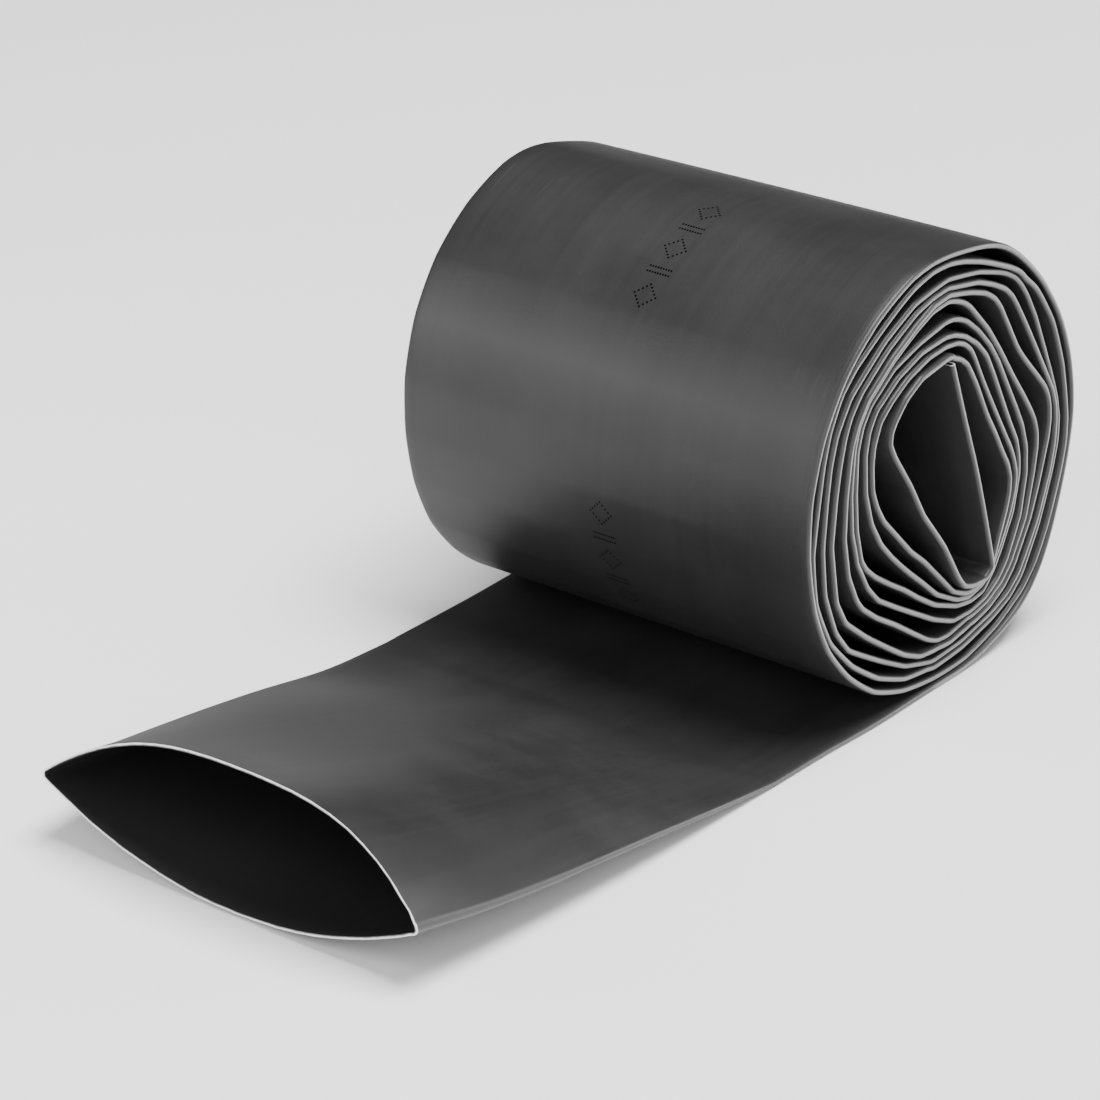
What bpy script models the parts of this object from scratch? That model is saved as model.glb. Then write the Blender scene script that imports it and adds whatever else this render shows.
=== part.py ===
"""A length of wide heat shrink tube, pressed flat and wound into a loose roll.

The tube is one extruded piece. Its flat part is wound about ten and a half
times round a lens-shaped core hollow, and its free end runs out from under
the roll along the floor, where it opens into a mouth.
Metres throughout, +Z up. The roll's axis lies along X and the free end
points to -Y. The roll rests on its own free end, on the floor at Z = 0, and
the origin is under the middle of the whole piece.
"""
import math

import bmesh
import bpy
from mathutils import Vector

# The tube itself
FLAT_WIDTH = 0.0792
WALL = 0.00050
BORE_AIR = 0.00005
FOLD_RUN = 0.0009

# Where each side has its points, as shares of the way to the fold
ACROSS = (1.0, 0.72, 0.38, 0.0, -0.38, -0.72, -1.0)

# How the turns lie on each other: the half length of the hollow that they
# are wound round, and the loose space that a turn leaves under itself
CORE_REACH = 0.0200
TURN_SLACK = 0.0010
TURN_CLEARANCE = 0.00005
FULL_TURNS = 10
STATIONS_PER_TURN = 24

# The free end
TAIL_LENGTH = 0.1234
TAIL_FLAT = 0.0370
TAIL_STATIONS = 13
MOUTH_LOWER = 0.0102
MOUTH_UPPER = 0.0141
MOUTH_RISE_POWER = 1.15

# The first pass through the core, as corners: clockwise degrees from the
# top, seen from +X, and distance from the roll's centre in core reaches
CORE_CORNERS = (
    (0.0, 0.985),
    (75.0, 0.420),
    (150.0, 1.200),
    (162.0, 0.975),
    (235.0, 0.305),
    (305.0, 0.825),
    (318.0, 1.000),
    (345.0, 1.045),
)

# The outline that the winding grows from, outside the first pass: its
# distance from the centre at the twelve clock hours, in core reaches
CORE_OUTLINE = (
    1.045, 0.825, 0.695, 0.810, 1.045, 1.235,
    0.755, 0.520, 0.510, 0.740, 1.035, 1.100,
)

# How much of the turn slack each later turn has, at the clock hours
SLACK = (
    0.86, 1.26, 1.55, 1.34, 0.67, 0.06,
    1.04, 1.69, 1.75, 1.33, 0.81, 0.76,
)

# Places where some turns stand off from the even winding, or lie closer:
# first turn, last turn, direction, half width in degrees, height in slacks
POCKETS = (
    (2, 5, 60.0, 38.0, -0.9),
    (3, 8, 240.0, 42.0, 1.4),
    (5, 5, 42.0, 30.0, -0.8),
    (5, 7, 238.0, 32.0, 0.8),
    (5, 8, 90.0, 45.0, 0.7),
    (6, 7, 86.0, 34.0, 1.0),
    (5, 7, 184.0, 30.0, 0.8),
    (5, 7, 324.0, 36.0, -0.6),
    (7, 99, 150.0, 45.0, 1.0),
    (9, 99, 138.0, 50.0, 1.1),
    (10, 10, 88.0, 48.0, -0.8),
    (10, 10, 180.0, 30.0, -0.7),
)

LAYER = 2 * WALL + BORE_AIR
HALF = LAYER / 2
PITCH = LAYER + TURN_CLEARANCE
HALF_WIDTH = FLAT_WIDTH / 2


def at_hours(values, angle):
    """Smooth closed curve through twelve values, read at an angle in degrees."""
    place = (angle % 360.0) / 30.0
    hour = int(place)
    t = place - hour
    a, b, c, d = (values[(hour + i) % 12] for i in (-1, 0, 1, 2))
    return b + 0.5 * t * (c - a + t * (2 * a - 5 * b + 4 * c - d + t * (3 * (b - c) + d - a)))


def core_radius(angle):
    """Distance from the centre to the straight runs of the first pass."""
    corners = CORE_CORNERS + ((360.0, CORE_OUTLINE[0]),)
    for (a0, r0), (a1, r1) in zip(corners, corners[1:]):
        if angle <= a1:
            break
    along = math.radians(angle - a0)
    left = math.radians(a1 - angle)
    share = r0 * r1 * math.sin(along + left) / (r0 * math.sin(along) + r1 * math.sin(left))
    return CORE_REACH * share


def winding_radius(turns):
    """Distance from the centre to the middle of the flat tube, by turns wound."""
    angle = (turns % 1.0) * 360.0
    if turns < 1.0:
        return core_radius(angle)
    loose = (turns - 1.0) * at_hours(SLACK, angle)
    for first, last, direction, half_width, height in POCKETS:
        off = (angle - direction + 180.0) % 360.0 - 180.0
        lap = round(turns - off / 360.0 - direction / 360.0)
        if first <= lap <= last and abs(off) < half_width:
            loose += height * (1 - (off / half_width) ** 2) ** 2
    return CORE_REACH * at_hours(CORE_OUTLINE, angle) + (turns - 1.0) * PITCH + TURN_SLACK * loose


def section(opening):
    """Outer and inner ring of the tube's section, as (width, height) pairs.

    An opening of 0 is pressed flat and 1 is the mouth, where each side of the
    tube bows away from the fold line. Both rings start at the fold on the +X side.
    """
    up = (MOUTH_UPPER - HALF) * opening
    down = (MOUTH_LOWER - HALF) * opening
    fold = HALF_WIDTH - (up * up + down * down) / (3 * HALF_WIDTH)

    def ring(tip, shoulder, skin):
        points = []
        for side, bow in ((1, up), (-1, down)):
            points.append((side * tip, 0.0))
            for share in ACROSS:
                x = side * share * shoulder
                points.append((x, side * (skin + bow * (1 - (x / fold) ** 2))))
        return points

    outer = ring(fold, fold - FOLD_RUN, HALF)
    inner = ring(fold - 2 * WALL, fold - 2.3 * WALL, BORE_AIR / 2)
    return outer, inner


def path():
    """Stations along the tube: (y, z, opening), from the inner end to the mouth."""
    stations = []
    last = FULL_TURNS + 0.5
    centre = winding_radius(last) + HALF
    steps = int(last * STATIONS_PER_TURN)
    for i in range(steps + 1):
        turns = i / STATIONS_PER_TURN
        radius = winding_radius(turns)
        angle = math.radians(turns * 360.0)
        stations.append((radius * math.sin(angle), centre + radius * math.cos(angle), 0.0))
    for i in range(1, TAIL_STATIONS + 1):
        run = TAIL_LENGTH * i / TAIL_STATIONS
        t = max(0.0, (run - TAIL_FLAT) / (TAIL_LENGTH - TAIL_FLAT))
        opening = t ** MOUTH_RISE_POWER
        down = HALF + (MOUTH_LOWER - HALF) * opening
        stations.append((-run, down, opening))
    return stations


def tube():
    """The wound tube as one closed loft: outer skin, bore and two cut rims."""
    stations = path()
    mesh = bmesh.new()
    outer_rings = []
    inner_rings = []
    for i, (y, z, opening) in enumerate(stations):
        before = stations[max(i - 1, 0)]
        after = stations[min(i + 1, len(stations) - 1)]
        if opening > 0.0 or after[2] > 0.0:
            normal = Vector((0.0, 0.0, 1.0))
            mitre = 1.0
        else:
            a = Vector((y - before[0], z - before[1]))
            b = Vector((after[0] - y, after[1] - z))
            a = (a if a.length > 0 else b).normalized()
            b = (b if b.length > 0 else a).normalized()
            run = (a + b).normalized()
            normal = Vector((0.0, run.y, -run.x))
            mitre = 1.0 / max(0.6, run.dot(a))
        for rings, ring in zip((outer_rings, inner_rings), section(opening)):
            points = []
            for x, height in ring:
                lift = normal * (height * mitre)
                points.append(mesh.verts.new((x, y + lift.y, z + lift.z)))
            rings.append(points)
    count = len(outer_rings[0])
    for rings, flip in ((outer_rings, False), (inner_rings, True)):
        for low, high in zip(rings, rings[1:]):
            for j in range(count):
                quad = [low[j], low[(j + 1) % count], high[(j + 1) % count], high[j]]
                mesh.faces.new(quad[::-1] if flip else quad)
    for outer, inner in ((outer_rings[0], inner_rings[0]), (outer_rings[-1], inner_rings[-1])):
        for j in range(count):
            mesh.faces.new([outer[j], inner[j], inner[(j + 1) % count], outer[(j + 1) % count]])
    bmesh.ops.recalc_face_normals(mesh, faces=mesh.faces)
    reach = [vert.co.y for vert in mesh.verts]
    bmesh.ops.translate(mesh, verts=mesh.verts, vec=(0.0, -(min(reach) + max(reach)) / 2, 0.0))
    data = bpy.data.meshes.new("heat_shrink_tube")
    mesh.to_mesh(data)
    mesh.free()
    return data


for old in list(bpy.data.objects):
    bpy.data.objects.remove(old, do_unlink=True)

group = bpy.data.collections.new("wound_heat_shrink_tube")
bpy.context.scene.collection.children.link(group)

piece = bpy.data.objects.new("heat_shrink_tube", tube())
group.objects.link(piece)

plastic = bpy.data.materials.new("dark_polyolefin")
plastic.use_nodes = True
shader = plastic.node_tree.nodes["Principled BSDF"]
shader.inputs["Base Color"].default_value = (0.045, 0.046, 0.050, 1.0)
shader.inputs["Roughness"].default_value = 0.48
shader.inputs["Metallic"].default_value = 0.0
piece.data.materials.append(plastic)
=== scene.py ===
"""A wound roll of wide heat shrink tube, dressed for its picture.

The tube, pressed flat and wound up, its free end open on the floor; then its
finish, the floor, the studio lights and the camera. Sizes are in metres.
"""
import math

import bpy
import numpy as np
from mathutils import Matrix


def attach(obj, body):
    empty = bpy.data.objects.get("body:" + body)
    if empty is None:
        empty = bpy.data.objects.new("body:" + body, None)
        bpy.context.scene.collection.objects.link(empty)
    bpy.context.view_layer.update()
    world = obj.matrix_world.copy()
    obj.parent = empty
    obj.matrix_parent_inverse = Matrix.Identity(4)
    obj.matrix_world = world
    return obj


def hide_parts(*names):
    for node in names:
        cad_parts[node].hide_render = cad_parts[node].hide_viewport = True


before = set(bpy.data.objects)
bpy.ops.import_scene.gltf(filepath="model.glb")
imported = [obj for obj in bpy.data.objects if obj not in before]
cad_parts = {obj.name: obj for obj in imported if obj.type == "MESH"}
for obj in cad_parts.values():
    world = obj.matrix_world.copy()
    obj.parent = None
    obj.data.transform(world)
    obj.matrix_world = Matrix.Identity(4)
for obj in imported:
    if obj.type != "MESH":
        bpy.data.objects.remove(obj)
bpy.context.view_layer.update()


# The camera
# It stands where the photograph was taken from: a long lens, to the right of
# the free end and above it, looking down on the roll's near end face.
CAMERA_PLACE = (0.3784, -0.48265, 0.3146)
CAMERA_TILT = 25.02
CAMERA_TURN = 38.44
CAMERA_LENS = 143.1
CAMERA_SENSOR = 36.0
LEVEL = 90.0

lens = bpy.data.cameras.new("camera")
lens.lens = CAMERA_LENS
lens.sensor_width = CAMERA_SENSOR
camera = bpy.data.objects.new("camera", lens)
camera.location = CAMERA_PLACE
camera.rotation_euler = (math.radians(LEVEL - CAMERA_TILT), 0.0, math.radians(CAMERA_TURN))
bpy.context.scene.collection.objects.link(camera)
bpy.context.scene.camera = camera


# The wound part of the tube
# The sleeve is extruded round, pressed flat as it comes off the line and wound
# by hand. It is stiff, so the turns near the core are straight runs between
# bends, and only the outer turns lie round.
ROLL_CENTRE = np.array([0.04245, 0.03553])
WALL = 0.00050
BORE_AIR = 0.00005
TURN_AIR = 0.00003
LAYER = 2 * WALL + BORE_AIR
HALF = LAYER / 2
TURN_PITCH = LAYER + TURN_AIR
TURNS_WOUND = 10.5
DEGREES = 360
MM_IN_METRE = 1000

# Where each turn bends, from the inner end outwards: the direction from the
# roll's centre, in degrees clockwise from the top as the near end shows it,
# and the distance from the centre in millimetres. One block a turn.
TURN_BENDS = (
    ((2, 20.4), (69, 7.4), (141, 20.2), (144, 23.0), (150, 23.2), (158, 21.5), (164, 19.9),
     (168, 17.3), (185, 9.9), (246, 7.0), (289, 10.5), (304, 17.2), (308, 19.9), (313, 21.0),
     (319, 21.3), (328, 21.7), (340, 21.8)),
    ((0, 21.6), (9, 20.5), (15, 19.5), (20, 18.2), (28, 16.6), (54, 14.0), (75, 14.8),
     (90, 16.6), (98, 18.5), (105, 20.0), (112, 20.8), (120, 21.3), (130, 22.1), (138, 23.4),
     (144, 24.2), (150, 24.5), (157, 23.5), (161, 22.6), (169, 20.1), (182, 15.5), (203, 12.3),
     (225, 11.9), (248, 12.8), (268, 16.0), (278, 18.1), (286, 19.9), (297, 21.9), (304, 23.2),
     (313, 24.2), (322, 24.0), (334, 23.7), (348, 23.4)),
    ((0, 23.2), (8, 23.0), (13, 22.6), (19, 21.7), (24, 20.4), (40, 17.5), (62, 16.6),
     (85, 18.5), (90, 19.5), (97, 20.9), (104, 22.3), (111, 22.9), (120, 23.4), (133, 24.3),
     (142, 25.3), (149, 25.7), (158, 24.7), (165, 22.9), (180, 19.0), (195, 16.0), (210, 14.8),
     (225, 14.6), (240, 15.3), (255, 16.9), (270, 19.0), (285, 21.4), (300, 24.2), (308, 25.5),
     (315, 26.0), (330, 25.4), (345, 25.0)),
    ((0, 24.7), (6, 24.4), (13, 23.8), (23, 22.7), (33, 21.5), (44, 20.0), (59, 19.1),
     (76, 19.7), (90, 21.9), (98, 23.0), (105, 23.7), (120, 24.7), (135, 25.5), (145, 26.6),
     (150, 27.1), (157, 26.0), (165, 24.2), (180, 20.9), (195, 18.5), (210, 17.4), (225, 17.9),
     (240, 19.6), (249, 21.0), (255, 21.7), (270, 22.5), (285, 23.9), (300, 26.5), (308, 27.6),
     (315, 27.9), (330, 27.4), (345, 26.7)),
    ((0, 27.1), (4, 27.1), (8, 26.8), (13, 26.2), (22, 24.7), (33, 23.2), (44, 22.0),
     (60, 21.2), (74, 22.0), (85, 23.5), (95, 25.0), (105, 26.1), (120, 27.6), (135, 28.9),
     (142, 29.2), (150, 28.9), (158, 27.9), (168, 26.4), (180, 23.5), (195, 21.1), (210, 20.4),
     (228, 21.3), (240, 21.9), (255, 22.7), (270, 23.8), (285, 25.3), (300, 27.7), (307, 28.8),
     (315, 29.2), (330, 29.0), (343, 29.6), (352, 30.5)),
    ((0, 30.7), (4, 30.2), (8, 29.6), (12, 28.7), (27, 25.3), (40, 23.5), (58, 22.9),
     (73, 24.4), (81, 25.9), (86, 27.0), (91, 27.8), (96, 28.1), (105, 28.2), (120, 29.3),
     (135, 30.3), (142, 30.5), (150, 29.8), (165, 28.2), (172, 28.1), (178, 27.6), (184, 26.4),
     (194, 24.4), (210, 23.0), (225, 23.7), (237, 25.0), (243, 25.4), (255, 25.9), (270, 26.4),
     (285, 27.1), (300, 29.1), (307, 29.9), (315, 30.3), (330, 30.1), (345, 30.7), (354, 31.5)),
    ((0, 31.7), (6, 31.2), (12, 30.9), (20, 30.7), (26, 30.2), (31, 29.3), (40, 27.5),
     (50, 26.4), (55, 26.4), (60, 26.8), (71, 28.7), (76, 30.0), (80, 30.8), (84, 31.2),
     (89, 31.3), (94, 31.0), (101, 30.4), (109, 30.3), (120, 30.7), (135, 31.6), (142, 31.7),
     (150, 31.0), (165, 29.4), (180, 28.6), (189, 28.5), (199, 27.6), (210, 26.8), (225, 27.2),
     (240, 29.1), (250, 29.6), (270, 29.6), (285, 29.8), (294, 30.6), (302, 31.6), (308, 32.2),
     (315, 32.2), (330, 31.8), (345, 32.4), (353, 32.7)),
    ((0, 32.8), (15, 32.4), (23, 32.2), (30, 32.2), (35, 31.8), (41, 30.9), (51, 30.0),
     (60, 29.9), (73, 31.0), (80, 32.3), (85, 33.0), (90, 33.3), (97, 33.3), (105, 33.1),
     (120, 33.3), (135, 34.4), (142, 34.2), (150, 33.1), (165, 31.6), (180, 31.0), (195, 29.8),
     (210, 29.1), (230, 31.0), (240, 31.4), (255, 31.5), (270, 31.5), (285, 32.0), (294, 33.2),
     (302, 34.2), (312, 34.6), (330, 33.8), (345, 34.1)),
    ((0, 34.3), (15, 34.0), (28, 34.5), (34, 34.7), (38, 34.4), (43, 33.8), (53, 32.8),
     (64, 32.2), (73, 32.6), (80, 33.4), (90, 34.7), (97, 34.8), (105, 34.3), (120, 34.4),
     (135, 35.5), (142, 35.4), (150, 34.1), (165, 32.7), (180, 31.8), (195, 31.9), (210, 31.9),
     (225, 32.4), (240, 33.5), (255, 34.1), (270, 34.2), (285, 34.1), (294, 35.2), (302, 36.3),
     (311, 37.1), (318, 36.8), (330, 36.1), (338, 36.4), (345, 37.0), (353, 37.3)),
    ((0, 37.0), (6, 36.4), (15, 35.7), (30, 35.7), (45, 35.7), (60, 35.6), (75, 35.6),
     (90, 36.4), (97, 36.8), (105, 36.6), (120, 37.2), (130, 38.0), (137, 37.9), (150, 36.5),
     (165, 35.1), (180, 33.8), (195, 33.8), (210, 34.3), (225, 34.3), (240, 34.9), (255, 35.4),
     (270, 36.1), (285, 37.1), (300, 37.7), (315, 38.3), (330, 38.7), (345, 39.1), (353, 38.8)),
    ((0, 38.3), (15, 38.2), (21, 38.5), (25, 38.5), (32, 38.0), (45, 37.6), (60, 37.5),
     (75, 37.7), (90, 38.0), (105, 37.7), (120, 38.3), (129, 39.0), (136, 39.1), (142, 38.6),
     (150, 37.6), (165, 36.3), (180, 35.0)),
)

# How far each bend is rounded, near the core and in the outermost turn, and
# the power of the length wound by which the one gives way to the other
CORE_SOFTENING = 0.0024
OUTER_SOFTENING = 0.0200
SOFTENING_POWER = 4
LINE_STEP = 0.00025

# The outermost turn's lift: the turns wound where it starts, over how much of
# a turn it comes in, and how many degrees it looks to either side
LIFT_STARTS = 9.5
LIFT_EASE = 0.1
LIFT_REACH = 12


def bell(reach):
    """Weights of a bell-shaped mean, from reach places before to reach after.

    The weight is one plus the cosine of the distance, as a share of their sum.
    """
    weights = np.hanning(2 * reach + 3)[1:-1]
    return weights / weights.sum()


def bell_mean(values, reach):
    """Running mean of a row of values by the bell's weights, its ends kept level."""
    return np.convolve(np.pad(values, reach, mode="edge"), bell(reach), mode="valid")


def softened(line, width):
    """The line's running mean by the bell's weights, with its two ends kept.

    Each end is continued by its own point mirror, so the mean there is the end.
    """
    reach = int(width / LINE_STEP) // 2
    before = 2 * line[0] - line[reach:0:-1]
    beyond = 2 * line[-1] - line[-2:-2 - reach:-1]
    whole = np.concatenate([before, line, beyond])
    return np.stack([np.convolve(column, bell(reach), mode="valid") for column in whole.T], axis=1)


def winding_line():
    """Middle line of the wound tube: turns wound, and place in the Y-Z plane.

    Straight runs from bend to bend, softened along their length. Then each
    turn is lifted as far outside the one under it as the tube is thick; the
    outermost turn, which is seen whole, takes the largest lift within reach,
    as a bell-shaped mean. The place is the roll's centre plus the distance
    times the sine and cosine of the angle wound, and never below the floor.
    """
    bends = [(turn + angle / DEGREES, far / MM_IN_METRE)
             for turn, row in enumerate(TURN_BENDS) for angle, far in row]
    turns, far = np.array(bends).T
    corners = far[:, None] * np.stack([np.sin(2 * np.pi * turns), np.cos(2 * np.pi * turns)], axis=1)
    run = np.concatenate([[0.0], np.cumsum(np.linalg.norm(np.diff(corners, axis=0), axis=1))])
    even = np.arange(0.0, run[-1], LINE_STEP)
    line = np.stack([np.interp(even, run, column) for column in corners.T], axis=1)
    outwards = (even[:, None] / run[-1]) ** SOFTENING_POWER
    line = softened(line, CORE_SOFTENING) * (1 - outwards) + softened(line, OUTER_SOFTENING) * outwards
    place = np.unwrap(np.arctan2(line[:, 0], line[:, 1])) / (2 * np.pi)
    degrees = np.arange(math.ceil(place[0] * DEGREES), int(TURNS_WOUND * DEGREES) + 1)
    far = np.interp(degrees / DEGREES, place, np.linalg.norm(line, axis=1))
    by_turn = np.zeros(len(TURN_BENDS) * DEGREES)
    by_turn[degrees] = far
    lead = TURN_PITCH * np.arange(len(TURN_BENDS))[:, None]
    by_turn = np.maximum.accumulate(by_turn.reshape(-1, DEGREES) - lead, axis=0) + lead
    lift = by_turn.ravel()[degrees] - far
    wide = np.pad(lift, LIFT_REACH, mode="edge")
    wide = np.max([wide[i:i + len(lift)] for i in range(2 * LIFT_REACH + 1)], axis=0)
    wide = bell_mean(wide, LIFT_REACH)
    far += lift + (wide - lift) * np.clip((degrees / DEGREES - LIFT_STARTS) / LIFT_EASE, 0, 1)
    angle = 2 * np.pi * degrees / DEGREES
    line = ROLL_CENTRE + far[:, None] * np.stack([np.sin(angle), np.cos(angle)], axis=1)
    line[:, 1] = np.maximum(line[:, 1], HALF)
    return degrees / DEGREES, line


# How far the inner turns stand out of the near end face, by turns wound
STAND_OUT = ((0.0, 0.0009), (0.4, 0.0018), (0.8, 0.0010), (1.0, 0.0007), (2.0, 0.0))

# The outermost turn lies otherwise at the far end: how much farther out, in
# millimetres, by turns wound. It grows across the tube by a power, and is a
# mean over so many degrees to either side.
FAR_END = ((9.45, 0.0), (9.55, 0.4), (9.62, 0.3), (9.70, 0.1), (9.76, 0.2), (9.83, 0.7),
           (9.92, 1.0), (9.96, 0.9), (10.0, 0.4), (10.03, -0.6), (10.07, -1.3), (10.11, -0.6), (10.17, 0.0))
FAR_END_POWER = 1.5
FAR_END_REACH = 12

wound_turns, wound_line = winding_line()
wound_sideways = np.interp(wound_turns, *np.array(STAND_OUT).T)
far_end = bell_mean(np.interp(wound_turns, *np.array(FAR_END).T) / MM_IN_METRE, FAR_END_REACH)


# The free end of the tube
# Past the roll the tube lies on the floor and springs open by itself: the
# lower wall stays down, the fold lines lift, and the upper wall arches. It is
# cut off square with a knife.
MOUTH_PLACE = -0.08095
CUT_DEPTH = 0.00010
OPENING_STARTS = -0.0002
OPENING_POWER = 1.10
FOLD_LIFT = 0.00975
FREE_END_STEP = 0.0011

# How the upper wall (1) and the lower wall (-1) arch at the mouth: the rise,
# the power of the curve, and how far its top is shifted to the near side
ARCHES = {1: (0.0139, 2.87, 0.0050), -1: (0.00950, 2.1, 0.0)}

# How much of its rise each wall takes from the tube's width
ARCH_PULLS = {1: 0.93, -1: 0.88}

free_run = np.arange(FREE_END_STEP, wound_line[-1, 0] - MOUTH_PLACE, FREE_END_STEP)
free_y = np.append(wound_line[-1, 0] - free_run, [MOUTH_PLACE + CUT_DEPTH, MOUTH_PLACE])
opened = np.clip((OPENING_STARTS - free_y) / (OPENING_STARTS - MOUTH_PLACE), 0, 1) ** OPENING_POWER
free_line = np.stack([free_y, np.full_like(free_y, HALF)], axis=1)

# The free end is a little twisted: how much lower each fold line lies, how far
# the tube stands out to the near side and how much narrower each half is, in
# millimetres by the place along Y. The last two start where the twist does.
TWIST_STARTS = 10.15
TWIST_EASE = 0.1
FAR_FOLD_DROP = ((-0.0809, -0.7), (-0.070, -0.4), (-0.060, -0.2), (-0.045, 0.0), (-0.032, 0.4),
                 (-0.024, 0.9), (-0.016, 1.3), (-0.010, 0.9), (-0.004, 0.3), (0.0, 0.0))
NEAR_FOLD_DROP = ((-0.0809, 0.0), (-0.070, 0.5), (-0.060, 0.5), (-0.050, 0.2), (-0.040, -0.2),
                  (-0.030, -0.4), (-0.015, -0.2), (0.0, 0.0))
TO_NEAR_SIDE = ((-0.025, 0.0), (-0.005, 0.5), (0.014, 0.7), (0.024, 1.1), (0.042, 0.8),
                (0.070, 0.6), (0.082, 0.0))
PINCH = ((-0.025, 0.0), (-0.005, 0.6), (0.012, 0.6), (0.030, 0.0))
EASE_STEP = 0.003
EASE_WEIGHTS = (1, 2, 3, 2, 1)


# The tube's two skins and its cut rims
# One wall runs over into the other at two fold lines, pressed to half-round
# beads. Stations stand closer together where the tube bends.
FLAT_WIDTH = 0.0792
STATION_STEP = 0.0018
STATION_BEND = math.radians(4.5)
OUTER_TURN_STARTS = 9.40
OUTER_TURN_CLOSER = 1.5
BEAD = np.radians([-90, -54, -18, 18, 54, 90])

# How the sleeve wanders from side to side: each wave's height, length and start
SIDE_WAVES = ((0.00014, 0.021, 0.0), (0.00008, 0.0083, 0.0), (0.00020, 0.113, 0.0))

# Where a wall has its points, as shares of the half width: closer to the folds
WALL_POINTS = 24
FOLD_CROWDING = 0.65
evenly = np.linspace(1.0, -1.0, WALL_POINTS + 2)[1:-1]
ACROSS = (1 - FOLD_CROWDING) * evenly + FOLD_CROWDING * np.sin(evenly * 0.5 * np.pi)


def spaced(line, turns, *others):
    """Stations along a line, closer where it bends, with other values read there.

    Each step spends the length covered, in station steps, and the angle
    turned, in station bends; a station stands at each whole number spent. The
    outermost turn, which is seen whole, spends half as much again.
    """
    step = np.diff(line, axis=0)
    length = np.linalg.norm(step, axis=1)
    heading = np.unwrap(np.arctan2(step[:, 1], step[:, 0]))
    turned = np.abs(np.diff(heading, prepend=heading[0]))
    closer = np.where(turns[1:] > OUTER_TURN_STARTS, OUTER_TURN_CLOSER, 1.0)
    spent = np.concatenate([[0.0], np.cumsum(closer * (length / STATION_STEP + turned / STATION_BEND))])
    at = np.linspace(0.0, spent[-1], int(spent[-1]) + 1)
    at = np.insert(at, 1, at[1] * CUT_DEPTH / length[0])
    values = np.column_stack([line, turns, *others])
    return np.stack([np.interp(at, spent, column) for column in values.T], axis=1)


def eased(place, table):
    """A table of places and millimetres read at a place, in metres.

    The weighted mean of five readings about the place rounds the table's corners.
    """
    at, value = np.array(table).T
    readings = [weight * np.interp(place + (i - len(EASE_WEIGHTS) // 2) * EASE_STEP, at, value)
                for i, weight in enumerate(EASE_WEIGHTS)]
    return sum(readings) / sum(EASE_WEIGHTS) / MM_IN_METRE


def waves(x, table):
    """The sum of sine waves: each its height times the sine of x over its length."""
    return sum(height * np.sin(x / length + start) for height, length, start in table)


wound = spaced(wound_line, wound_turns, wound_sideways, far_end)
line = np.concatenate([wound[:, :2], free_line])
further = np.concatenate([wound[:, 4], np.zeros(len(free_line))])
free = np.arange(len(line)) >= len(wound)
far_drop = eased(line[:, 0], FAR_FOLD_DROP) * free
near_drop = eased(line[:, 0], NEAR_FOLD_DROP) * free
arch = np.concatenate([np.zeros(len(wound)), opened])
along = np.concatenate([[0.0], np.cumsum(np.linalg.norm(np.diff(line, axis=0), axis=1))])
sideways = np.concatenate([wound[:, 3], np.zeros(len(free_line))])
turns = np.concatenate([wound[:, 2], np.full(len(free_line), TURNS_WOUND)])
last_part = np.clip((turns - TWIST_STARTS) / TWIST_EASE, 0, 1)
sideways += eased(line[:, 0], TO_NEAR_SIDE) * last_part
pinch = eased(line[:, 0], PINCH) * last_part
sideways += waves(along, SIDE_WAVES) * (1 - arch)

run = np.gradient(line, axis=0)
run /= np.linalg.norm(run, axis=1, keepdims=True)
normal = np.stack([run[:, 1], -run[:, 0]], axis=1)
centre = line.copy()
centre[:, 1] += FOLD_LIFT * arch


def bowed(side, x, fold):
    """Height over the fold lines of the upper (1) or lower wall (-1) at each x.

    The rise, times one less a power of the share of the half width, where the
    share is taken with the top of the bow shifted to the near side.
    """
    rise, power, shift = ARCHES[side]
    share = (x - shift * arch[:, None] * (1 - (x / fold) ** 2)) / fold
    return (1 - np.abs(np.clip(share, -1, 1)) ** power) * (rise * arch)[:, None]


def skin(skin_half, inset):
    """One skin of the tube as a grid of points: stations along, ring across.

    At each station the ring is two walls joined by two half-round folds. A
    wall's height is the skin's half thickness plus its bow, and a fold's point
    lies at the cosine and sine of its angle round the fold, times that height.
    """
    pull = sum(ARCH_PULLS[side] * (ARCHES[side][0] * arch) ** 2 for side in (1, -1))
    fold = (FLAT_WIDTH / 2 - pull / FLAT_WIDTH - pinch)[:, None]
    reach = fold - inset - skin_half
    joined = np.sin(BEAD)[None, :]
    x_parts, h_parts = [], []
    for side in (1, -1):
        bead_rise = np.where(joined > 0, bowed(side, side * reach, fold), bowed(-side, side * reach, fold))
        wall_x = side * reach * ACROSS[None, :]
        x_parts += [side * (reach + skin_half * np.cos(BEAD)[None, :]), wall_x]
        h_parts += [side * joined * (skin_half + bead_rise * np.abs(joined)),
                    side * (skin_half + bowed(side, wall_x, fold))]
    x = np.concatenate(x_parts, axis=1)
    height = np.concatenate(h_parts, axis=1)
    far_share = 0.5 - x / FLAT_WIDTH
    height = height - further[:, None] * far_share ** FAR_END_POWER
    y = centre[:, :1] + height * normal[:, :1]
    drop = far_drop[:, None] * far_share + near_drop[:, None] * (1 - far_share)
    z = centre[:, 1:] + height * normal[:, 1:] - drop
    z = np.maximum(z, HALF - skin_half)
    return np.stack([x + sideways[:, None], y, z], axis=-1)


outer = skin(HALF, 0.0)
inner = skin(BORE_AIR / 2, WALL)
stations, ring = outer.shape[:2]

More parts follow.
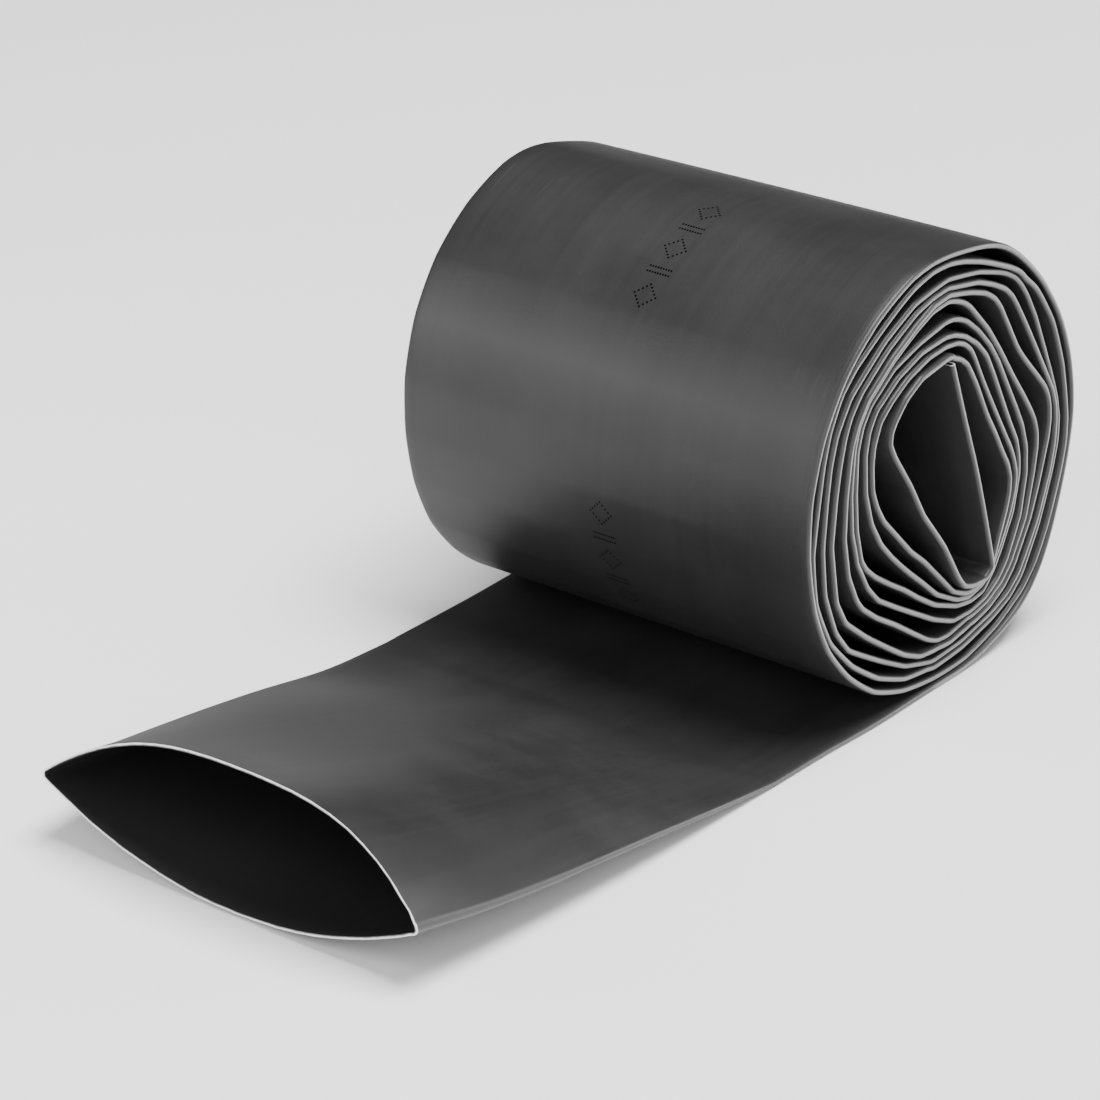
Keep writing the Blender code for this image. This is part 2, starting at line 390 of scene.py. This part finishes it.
# The knife leaves the mouth's rim a little uneven, with a burr by the near fold,
# and the inner end ragged
RIM_WAVES = ((0.00005, 0.0031, 0.0), (0.00004, 0.0012, 2.0))
BURR_STARTS = 0.0325
BURR_EASE = 0.002
BURR_OUT = 0.00022
BURR_WAVES = ((0.00020, 0.0004, 0.0),)
RAGGED_WAVES = ((0.00025, 0.0019, 0.0), (0.00015, 0.0007, 0.0))

rim_x = outer[-1, :, 0]
burr = np.clip((rim_x - BURR_STARTS) / BURR_EASE, 0, 1) * (BURR_OUT + waves(rim_x, BURR_WAVES))
rim = waves(rim_x, RIM_WAVES) - burr
ragged = waves(outer[0, :, 0], RAGGED_WAVES)
for side in (outer, inner):
    side[-1, :, 1] += rim
    side[0, :, 1:] += ragged[:, None] * run[0]

# In the inner turns, which show only their folds, the walls run straight from
# bead to bead. The inner skin is out of sight and has every other station.
bead_columns = np.concatenate([np.arange(len(BEAD)), ring // 2 + np.arange(len(BEAD))])
kept = np.concatenate([[0, 1], np.arange(2, len(wound), 2), np.arange(len(wound), stations)])
full_from = int(np.searchsorted(turns[:len(wound)], OUTER_TURN_STARTS))
skin_rows = (np.arange(stations), kept)


def chosen(grid, rows):
    """The values of a grid at one skin's points: bead columns first, then all."""
    lean, full = rows[rows < full_from], rows[rows >= full_from]
    return np.concatenate([grid[lean][:, bead_columns].ravel(), grid[full].ravel()])


def woven(index):
    """Faces of a closed band of points, from the numbers of its points."""
    after = np.roll(index, -1, axis=1)
    return np.stack([index[:-1], after[:-1], after[1:], index[1:]], axis=-1).reshape(-1, 4).tolist()


def numbered(rows, first):
    """Numbers of one skin's points, in its lean and its full rows."""
    lean, full = (rows < full_from).sum(), (rows >= full_from).sum()
    lean_index = first + np.arange(lean * len(bead_columns)).reshape(lean, -1)
    full_index = first + lean_index.size + np.arange(full * ring).reshape(full, ring)
    return lean_index, full_index


def skin_faces(lean, full):
    """Faces of one skin; where the rows change, a face takes each wall over."""
    faces = woven(lean) + woven(full)
    for k, column in enumerate(bead_columns):
        after = (k + 1) % len(bead_columns)
        last = bead_columns[after] if after else ring
        span = [int(full[0, c % ring]) for c in range(last, column - 1, -1)]
        faces.append([int(lean[-1, k]), int(lean[-1, after])] + span)
    return faces


outer_lean, outer_full = numbered(skin_rows[0], 0)
inner_lean, inner_full = numbered(skin_rows[1], outer_lean.size + outer_full.size)
faces = skin_faces(outer_lean, outer_full)
faces += [face[::-1] for face in skin_faces(inner_lean, inner_full)]
faces += woven(np.stack([inner_lean[0], outer_lean[0]]))
faces += woven(np.stack([outer_full[-1], inner_full[-1]]))
points = np.stack([np.concatenate([chosen(outer[..., i], skin_rows[0]), chosen(inner[..., i], skin_rows[1])])
                   for i in range(3)], axis=1)

SHARP_ANGLE = math.radians(60.0)
mesh = bpy.data.meshes.new("wound_tube")
mesh.from_pydata(points.tolist(), [], faces)
mesh.update()
mesh.shade_smooth()
mesh.set_sharp_from_angle(angle=SHARP_ANGLE)
tube = bpy.data.objects.new("wound_tube", mesh)
bpy.context.scene.collection.objects.link(tube)

# What the finish follows: the way along the tube, the way across it, which
# wall it is, how much a fold is worn and painted lit, how near a cut it is, and
# whether it is the bore. A fold is painted lighter on the side that faces the
# light from behind on the right: partly wear, partly a painted highlight.
# The side of a fold that faces this direction, the light behind on the right, gets a painted highlight
GLINT_SIDE = np.array([0.80, 0.55, -0.24])
GLINT_POWER = 5
FREE_END_WEAR_AND_GLINT = 0.30
BORE_CUT = 0.25
bead_out = np.concatenate([np.cos(BEAD), np.zeros(len(ACROSS))])
bead_up = np.concatenate([np.sin(BEAD), np.zeros(len(ACROSS))])
bead_out, bead_up = np.append(bead_out, -bead_out), np.append(bead_up, -bead_up)
facing = np.abs(bead_out) * GLINT_SIDE[0] + bead_up * (normal @ GLINT_SIDE[1:])[:, None]
fold_wear_and_glint_side = np.clip(facing, 0, 1) ** GLINT_POWER * np.where(free, FREE_END_WEAR_AND_GLINT, 1.0)[:, None]
wall_side = np.repeat([1.0, -1.0], ring // 2)
cut = np.zeros(stations)
cut[[0, -1]] = 1.0
channels = {
    "along": (along[:, None], along[:, None]),
    "across": (outer[:, :, 0], inner[:, :, 0]),
    "wall": (wall_side, wall_side),
    "fold": (fold_wear_and_glint_side, 0.0),
    "cut": (cut[:, None], BORE_CUT * cut[:, None]),
    "bore": (0.0, 1.0),
}
for name, sides in channels.items():
    values = [chosen(np.broadcast_to(side, (stations, ring)), rows) for side, rows in zip(sides, skin_rows)]
    values = np.concatenate(values).astype(np.float32)
    mesh.attributes.new(name, "FLOAT", "POINT").data.foreach_set("value", values)

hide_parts("heat_shrink_tube")
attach(tube, "root")


# The tube's finish
# Cross-linked polyolefin, coloured through: a satin dark grey skin with faint
# lines from the extruder's die, rubbed lighter on the fold lines, with a painted
# highlight on the side of each fold that faces the light, and a painted white
# highlight along the rims where the knife went through.


class Shade:
    """A socket of a material's nodes; arithmetic on it adds the Math nodes."""

    def __init__(self, socket):
        self.socket = socket

    def node(self, kind, settings, values, output=0):
        """A new node in this material: settings first, then sockets, by place or by name."""
        node = self.socket.id_data.nodes.new(kind)
        for name, setting in settings.items():
            setattr(node, name, setting)
        for name, value in values.items() if isinstance(values, dict) else enumerate(values):
            if isinstance(value, Shade):
                self.socket.id_data.links.new(value.socket, node.inputs[name])
            else:
                node.inputs[name].default_value = value
        return Shade(node.outputs[output])

    def maths(self, operation, *others):
        """A Math node on this value and others."""
        return self.node("ShaderNodeMath", {"operation": operation}, (self, *others))

    def __add__(self, other):
        return self.maths("ADD", other)

    def __sub__(self, other):
        return self.maths("SUBTRACT", other)

    def __rsub__(self, other):
        return self.node("ShaderNodeMath", {"operation": "SUBTRACT"}, (other, self))

    def __mul__(self, other):
        return self.maths("MULTIPLY", other)

    def __truediv__(self, other):
        return self.maths("DIVIDE", other)

    def __rtruediv__(self, other):
        return self.node("ShaderNodeMath", {"operation": "DIVIDE"}, (other, self))

    __radd__ = __add__
    __rmul__ = __mul__

    def ramp(self, low, high):
        """Rises smoothly from 0 to 1 as the value goes from low to high."""
        values = (self, low, high, 0.0, 1.0)
        return self.node("ShaderNodeMapRange", {"interpolation_type": "SMOOTHSTEP"}, values)


def new_material(name):
    """A material with one Principled shader, and that shader."""
    material = bpy.data.materials.new(name)
    material.use_nodes = True
    return material, material.node_tree.nodes["Principled BSDF"]


# Each noise has so many grains to a metre, a detail and a roughness
CLOUDS = (45.0, 4.0, 0.6)
GRAIN = (2200.0, 3.0, 0.7)
RUBBED_PATCHES = (16.0, 6.0, 0.7)
SCRATCHED_PATCHES = (60.0, 2.0, 0.5)
FOLD_WEAR_AND_GLINT_PATCHES = (240.0, 3.0, 0.7)
HIGHLIGHT_EDGE = (620.0, 3.0, 0.7)
CUT_PATCHES = (700.0, 2.0, 0.5)

# Streaks have so many grains to a metre across the tube and along it, a step
# from one wall to the other, a detail and a roughness
DIE_LINES = (620.0, 7.0, 9.0, 4.0, 0.6)
BROAD_BANDS = (60.0, 22.0, 5.0, 3.0, 0.5)
SCRATCHES = (900.0, 60.0, 3.0, 1.0, 0.5)

SKIN_DARK = (0.0125, 0.0125, 0.0127, 1)
SKIN_LIGHT = (0.0205, 0.0205, 0.0208, 1)
# Fold lines: rubbed grey and partly a painted highlight
FOLD_WEAR_AND_HIGHLIGHT_GREY = (0.740, 0.740, 0.742, 1)
RUBBED_GREY = (0.070, 0.070, 0.071, 1)
# Painted white highlight on the cut rims
CUT_HIGHLIGHT_WHITE = (0.80, 0.80, 0.80, 1)
BORE_GREY = (0.018, 0.018, 0.018, 1)
MARK_BLACK = (0.0015, 0.0015, 0.0015, 1)

# The shader's own socket is the one that the first nodes are made from
polyolefin, shader = new_material("dark_polyolefin")
surface = Shade(shader.outputs["BSDF"])
place = surface.node("ShaderNodeTexCoord", {}, (), "Object")
way_along, way_across, wall, fold, cut_edge, bore = (
    surface.node("ShaderNodeAttribute", {"attribute_name": name}, (), "Fac") for name in channels)


def noise(place, scale, detail, roughness):
    """Noise from 0 to 1 at a place: octaves that each weaken by the roughness."""
    values = {"Vector": place, "Scale": scale, "Detail": detail, "Roughness": roughness}
    return surface.node("ShaderNodeTexNoise", {}, values)


def streaks(across, lengthways, wall_apart, detail, roughness):
    """Noise drawn out along the tube: read at the ways across and along, each times its grains."""
    values = (way_across * across, way_along * lengthways, wall * wall_apart)
    return noise(surface.node("ShaderNodeCombineXYZ", {}, values), 1.0, detail, roughness)


def blend(share, first, second):
    """The colour that lies at a share of the way from the first to the second."""
    return surface.node("ShaderNodeMix", {"data_type": "RGBA"}, {0: share, 6: first, 7: second}, 2)


# Die lines run along the tube: fine across it and very long along it
die_lines = streaks(*DIE_LINES)
broad_bands = streaks(*BROAD_BANDS)
clouds = noise(place, *CLOUDS)
grain = noise(place, *GRAIN)

# Rubbed patches and fine scratches
rub = noise(place, *RUBBED_PATCHES).ramp(0.52, 0.78)
scratches = streaks(*SCRATCHES).ramp(0.70, 0.76) * noise(place, *SCRATCHED_PATCHES).ramp(0.55, 0.65)

# Printed by dots along the middle of one wall: diamonds and double bars in
# turn, in groups. A mark is nine dots wide; a diamond is where the dots' steps
# from its middle add up to four, and the bars are one step to either side. A
# dot fades out by its squared distance, in steps of the dots. The groups
# before the first keep the way along above nought.
MARKS_START = 0.0389
MARKS_EVERY = 0.0540
GROUPS_BEFORE = 10
MARK_STEP = 0.0046
MARKS_IN_GROUP = 5
DOT_STEP = 0.0005
MARK_EDGE = 0.00205
MARK_MIDDLE = 4.0
BAR_APART = 1.0
HALF_STEP = 0.5
NEARLY = 0.1
DOT_OUTSIDE, DOT_INSIDE = 0.17, 0.10
OUTER_WALL = -0.9
group = (way_along + (MARKS_EVERY * GROUPS_BEFORE - MARKS_START)).maths("MODULO", MARKS_EVERY)
cell = group / MARK_STEP
odd = cell.maths("FLOOR").maths("MODULO", 2.0)
dots_along = cell.maths("FRACT") * (MARK_STEP / DOT_STEP)
dots_across = (way_across + MARK_EDGE) / DOT_STEP
from_centre = (dots_along.maths("FLOOR") - MARK_MIDDLE).maths("ABSOLUTE")
off_middle = (dots_across.maths("FLOOR") - MARK_MIDDLE).maths("ABSOLUTE")
in_band = off_middle.maths("LESS_THAN", MARK_MIDDLE + HALF_STEP)
diamonds = (from_centre + off_middle).maths("COMPARE", MARK_MIDDLE, NEARLY)
bars = from_centre.maths("COMPARE", BAR_APART, NEARLY)
dot_far = (dots_along.maths("FRACT") - HALF_STEP).maths("POWER", 2.0)
dot_far = dot_far + (dots_across.maths("FRACT") - HALF_STEP).maths("POWER", 2.0)
dot = dot_far.ramp(DOT_OUTSIDE, DOT_INSIDE)
in_group = group.maths("LESS_THAN", MARKS_IN_GROUP * MARK_STEP)
outward = wall.maths("LESS_THAN", OUTER_WALL) * (1.0 - bore)
printed = dot * in_band * in_group * (diamonds * (1.0 - odd) + bars * odd) * outward

# The colour: the skin's clouds and bands, then what lies over them in turn,
# each with the share that it covers at most
RUBBED_SHARE = 0.16
SCRATCHED_SHARE = 0.10
FOLD_SHARE = 0.95
BORE_SHARE = 0.8
INK_SHARE = 0.95
HIGHLIGHT_RAGGEDNESS = 0.9
tone = clouds * 0.45 + broad_bands * 0.35 + die_lines * 0.20
colour = blend(tone.ramp(0.34, 0.66), SKIN_DARK, SKIN_LIGHT)
colour = blend(rub * RUBBED_SHARE + scratches * SCRATCHED_SHARE, colour, RUBBED_GREY)
# Fold lines: partly rubbed wear, partly a painted highlight on the side that faces the light
fold_wear_and_glint = fold * (0.55 + 0.45 * noise(place, *FOLD_WEAR_AND_GLINT_PATCHES))
colour = blend(fold_wear_and_glint * FOLD_SHARE, colour, FOLD_WEAR_AND_HIGHLIGHT_GREY)
colour = blend(bore * BORE_SHARE, colour, BORE_GREY)
colour = blend(printed * INK_SHARE, colour, MARK_BLACK)
# A painted white highlight along the cut rims, with a ragged inner edge and uneven strength
ragged_highlight = cut_edge + HIGHLIGHT_RAGGEDNESS * (noise(place, *HIGHLIGHT_EDGE) - 0.5) * cut_edge
cut_highlight = ragged_highlight.ramp(0.35, 0.80) * (0.75 + 0.4 * noise(place, *CUT_PATCHES))
colour = blend(cut_highlight, colour, CUT_HIGHLIGHT_WHITE)

# The free end's far half is duller, the more so towards the mouth: from so far
# before the mouth to so far, and from so far across the tube to so far
DULL_STARTS, DULL_FULL = 0.11, 0.03
DULL_NEAR, DULL_FAR = 0.010, -0.020
BASE_ROUGHNESS = 0.35
POLYOLEFIN_IOR = 1.46
mouth = float(along[-1])
duller = way_along.ramp(mouth - DULL_STARTS, mouth - DULL_FULL) * way_across.ramp(DULL_NEAR, DULL_FAR)
rough = BASE_ROUGHNESS + 0.10 * clouds + 0.06 * die_lines + 0.08 * rub + 0.20 * cut_highlight + 0.20 * duller

# The relief, in metres
DIE_LINE_HEIGHT = 0.000010
BAND_HEIGHT = 0.00004
GRAIN_HEIGHT = 0.000022
SCRATCH_DEPTH = 0.000006
relief = die_lines * DIE_LINE_HEIGHT + broad_bands * BAND_HEIGHT + grain * GRAIN_HEIGHT
relief = relief - scratches * SCRATCH_DEPTH
bumps = surface.node("ShaderNodeBump", {}, {"Strength": 1.0, "Distance": 1.0, "Height": relief})

links = polyolefin.node_tree.links
links.new(colour.socket, shader.inputs["Base Color"])
links.new(rough.socket, shader.inputs["Roughness"])
links.new(printed.socket, shader.inputs["Metallic"])
links.new(bumps.socket, shader.inputs["Normal"])
shader.inputs["IOR"].default_value = POLYOLEFIN_IOR
shader.distribution = "GGX"
mesh.materials.append(polyolefin)


# The floor and the light
# A pale sheet under the roll; a soft panel at the front left for the broad
# sheen, two large ones at the front, one above, and one behind on the right
# that draws the light lines along the folds, over the highlight painted on them.
SHEET_REACH = 0.8
PAPER_WHITE = (0.90, 0.90, 0.90, 1)
PAPER_ROUGHNESS = 0.95
STUDIO_WHITE = (1, 1, 1, 1)
STUDIO_STRENGTH = 0.13

corners = [(SHEET_REACH * x, SHEET_REACH * y, 0) for x, y in ((-1, -1), (1, -1), (1, 1), (-1, 1))]
floor_mesh = bpy.data.meshes.new("floor")
floor_mesh.from_pydata(corners, [], [(0, 1, 2, 3)])
floor = bpy.data.objects.new("floor", floor_mesh)
bpy.context.scene.collection.objects.link(floor)
paper, paper_shader = new_material("pale_paper")
paper_shader.inputs["Base Color"].default_value = PAPER_WHITE
paper_shader.inputs["Roughness"].default_value = PAPER_ROUGHNESS
floor_mesh.materials.append(paper)


def soft_panel(name, place, aim, size, power):
    """A square area light at a place, turned to face a point.

    It tips by the angle of the level distance over the height, and turns to
    the heading of the place from the point.
    """
    light = bpy.data.lights.new(name, "AREA")
    light.size = size
    light.energy = power
    panel = bpy.data.objects.new(name, light)
    panel.location = place
    away = np.array(place) - np.array(aim)
    flat = math.hypot(away[0], away[1])
    panel.rotation_euler = (math.atan2(flat, away[2]), 0.0, math.atan2(away[0], -away[1]))
    bpy.context.scene.collection.objects.link(panel)


soft_panel("front_left", (-0.24, -0.26, 0.175), (-0.02, 0.02, 0.035), 0.19, 0.56)
soft_panel("front", (0.35, -1.05, 0.56), (0.0, 0.0, 0.03), 1.3, 13.0)
soft_panel("front_right", (0.70, -0.62, 0.36), (0.0, 0.0, 0.03), 0.8, 3.0)
soft_panel("above", (0.26, 0.10, 1.28), (0.0, 0.0, 0.0), 0.7, 36.0)
soft_panel("behind_right", (0.75, 0.95, 0.14), (0.03, 0.03, 0.03), 0.5, 12.0)

world = bpy.data.worlds.new("studio")
world.use_nodes = True
background = world.node_tree.nodes["Background"]
background.inputs["Color"].default_value = STUDIO_WHITE
background.inputs["Strength"].default_value = STUDIO_STRENGTH
bpy.context.scene.world = world
